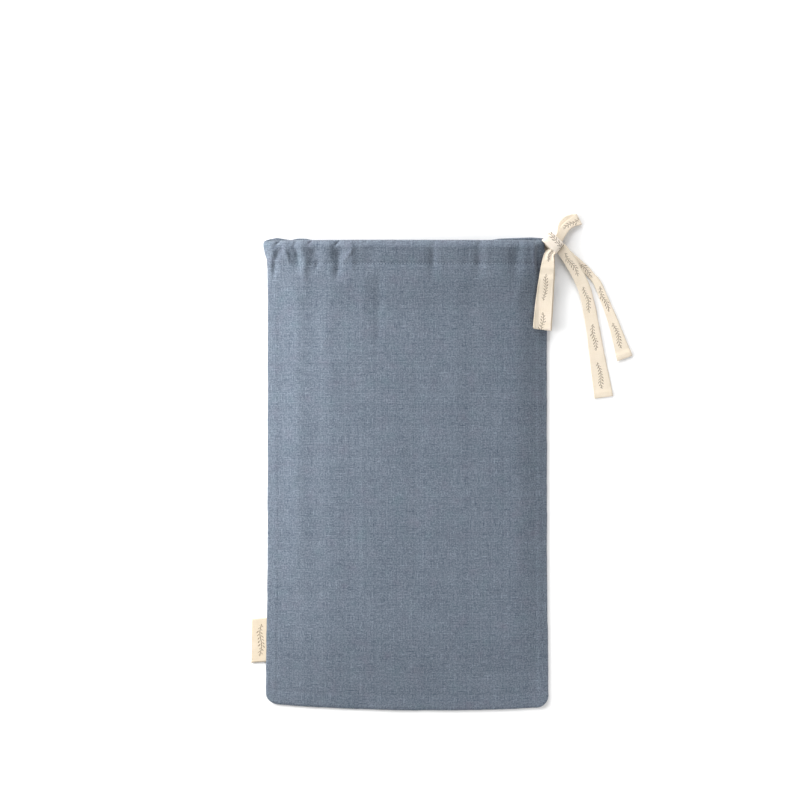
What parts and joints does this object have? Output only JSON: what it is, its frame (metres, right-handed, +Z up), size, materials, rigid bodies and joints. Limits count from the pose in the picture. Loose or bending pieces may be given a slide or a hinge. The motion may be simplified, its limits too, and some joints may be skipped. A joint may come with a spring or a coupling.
{
  "type": "linen bread bag",
  "caption": "Flat drawstring bread bag of washed linen, lying on its back, with a gathered casing at the mouth, a cotton tape tied in a bow at one end and a side-seam label.",
  "frame": {"origin": "middle of the flat underside of the back panel, on the surface that the bag lies on", "axes": "+Z up out of that surface through the front panel, +Y along the bag towards its mouth, +X towards the side where the bow is"},
  "size_m": [0.4057, 0.5281, 0.0271],
  "materials": {
    "linen": "matt washed plain-weave linen, slubby, blue-grey",
    "cotton_tape": "matt woven cotton tape, cream",
    "label_cloth": "matt cotton label, cream"
  },
  "bodies": {
    "root": {"front_panel": "linen", "back_panel": "linen", "drawstring": "cotton_tape", "bow_knot": "cotton_tape", "bow_loop_left": "cotton_tape", "bow_loop_upper": "cotton_tape", "tail_long": "cotton_tape", "tail_short": "cotton_tape", "side_label": "label_cloth"}
  },
  "joints": []
}
